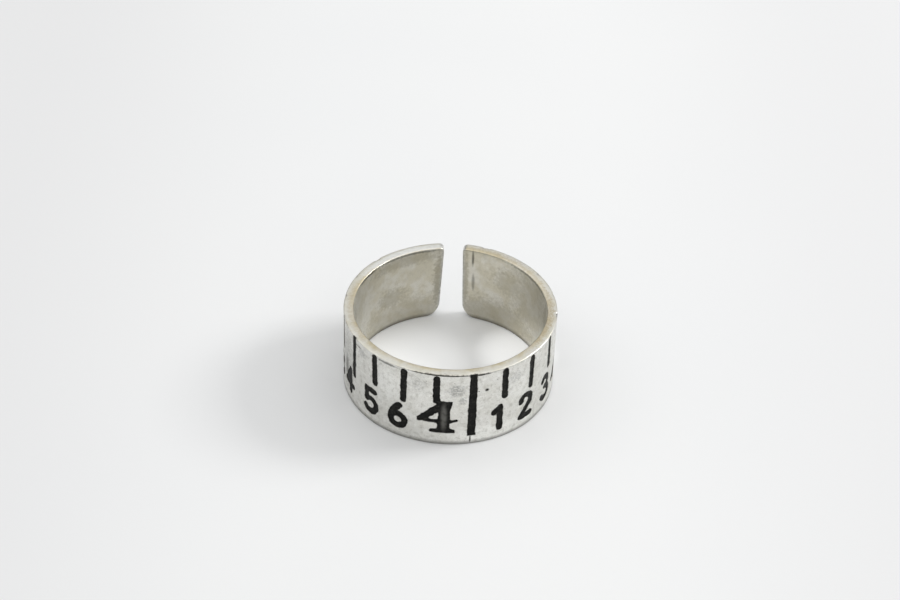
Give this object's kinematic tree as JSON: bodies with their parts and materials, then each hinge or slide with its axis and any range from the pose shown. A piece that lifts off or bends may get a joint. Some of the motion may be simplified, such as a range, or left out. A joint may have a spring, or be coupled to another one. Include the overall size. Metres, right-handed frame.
{
  "type": "adjustable band ring",
  "caption": "Open adjustable silver band ring with tape-measure lines and figures cut into its outer face and filled with black.",
  "frame": {"origin": "centre of the finger opening, level with the ring's bottom edge", "axes": "+Z along the finger opening, towards the edge that the rule lines run out to; +Y towards the gap; -Y towards the numeral 4"},
  "size_m": [0.0198, 0.0197, 0.0082],
  "materials": {
    "silver": "satin, worn and lightly pitted",
    "black_enamel": "dull sheen"
  },
  "bodies": {
    "front": {"band_front": "silver", "enamel_figure_3_5_8": "black_enamel", "enamel_figure_3_6_8": "black_enamel", "enamel_figure_4_1_8": "black_enamel", "enamel_figure_4_2_8": "black_enamel", "enamel_inch_line_4": "black_enamel", "enamel_inch_numeral_4": "black_enamel", "enamel_tick_3_5_8": "black_enamel", "enamel_tick_3_6_8": "black_enamel", "enamel_tick_3_7_8": "black_enamel", "enamel_tick_4_1_8": "black_enamel", "enamel_tick_4_2_8": "black_enamel"},
    "left_arm": {"band_left_arm": "silver", "enamel_figure_3_1_8": "black_enamel", "enamel_figure_3_2_8": "black_enamel", "enamel_figure_3_3_8": "black_enamel", "enamel_figure_3_4_8": "black_enamel", "enamel_half_inch_line_3_4_8": "black_enamel", "enamel_inch_line_3": "black_enamel", "enamel_inch_numeral_3": "black_enamel", "enamel_tick_2_7_8": "black_enamel", "enamel_tick_3_1_8": "black_enamel", "enamel_tick_3_2_8": "black_enamel", "enamel_tick_3_3_8": "black_enamel"},
    "right_arm": {"band_right_arm": "silver", "enamel_figure_4_3_8": "black_enamel", "enamel_figure_4_4_8": "black_enamel", "enamel_figure_4_5_8": "black_enamel", "enamel_figure_4_6_8": "black_enamel", "enamel_half_inch_line_4_4_8": "black_enamel", "enamel_inch_line_5": "black_enamel", "enamel_inch_numeral_5": "black_enamel", "enamel_tick_4_3_8": "black_enamel", "enamel_tick_4_5_8": "black_enamel", "enamel_tick_4_6_8": "black_enamel", "enamel_tick_4_7_8": "black_enamel"}
  },
  "joints": [
    {"name": "left_arm_flex", "type": "hinge", "parent": "front", "child": "left_arm", "pos_m": [-0.00765, -0.0055, 0.0041], "axis": [0, 0, 1], "range_deg": [-3.2, 8]},
    {"name": "right_arm_flex", "type": "hinge", "parent": "front", "child": "right_arm", "pos_m": [0.00781, -0.00528, 0.0041], "axis": [0, 0, -1], "range_deg": [-3.2, 8]}
  ]
}
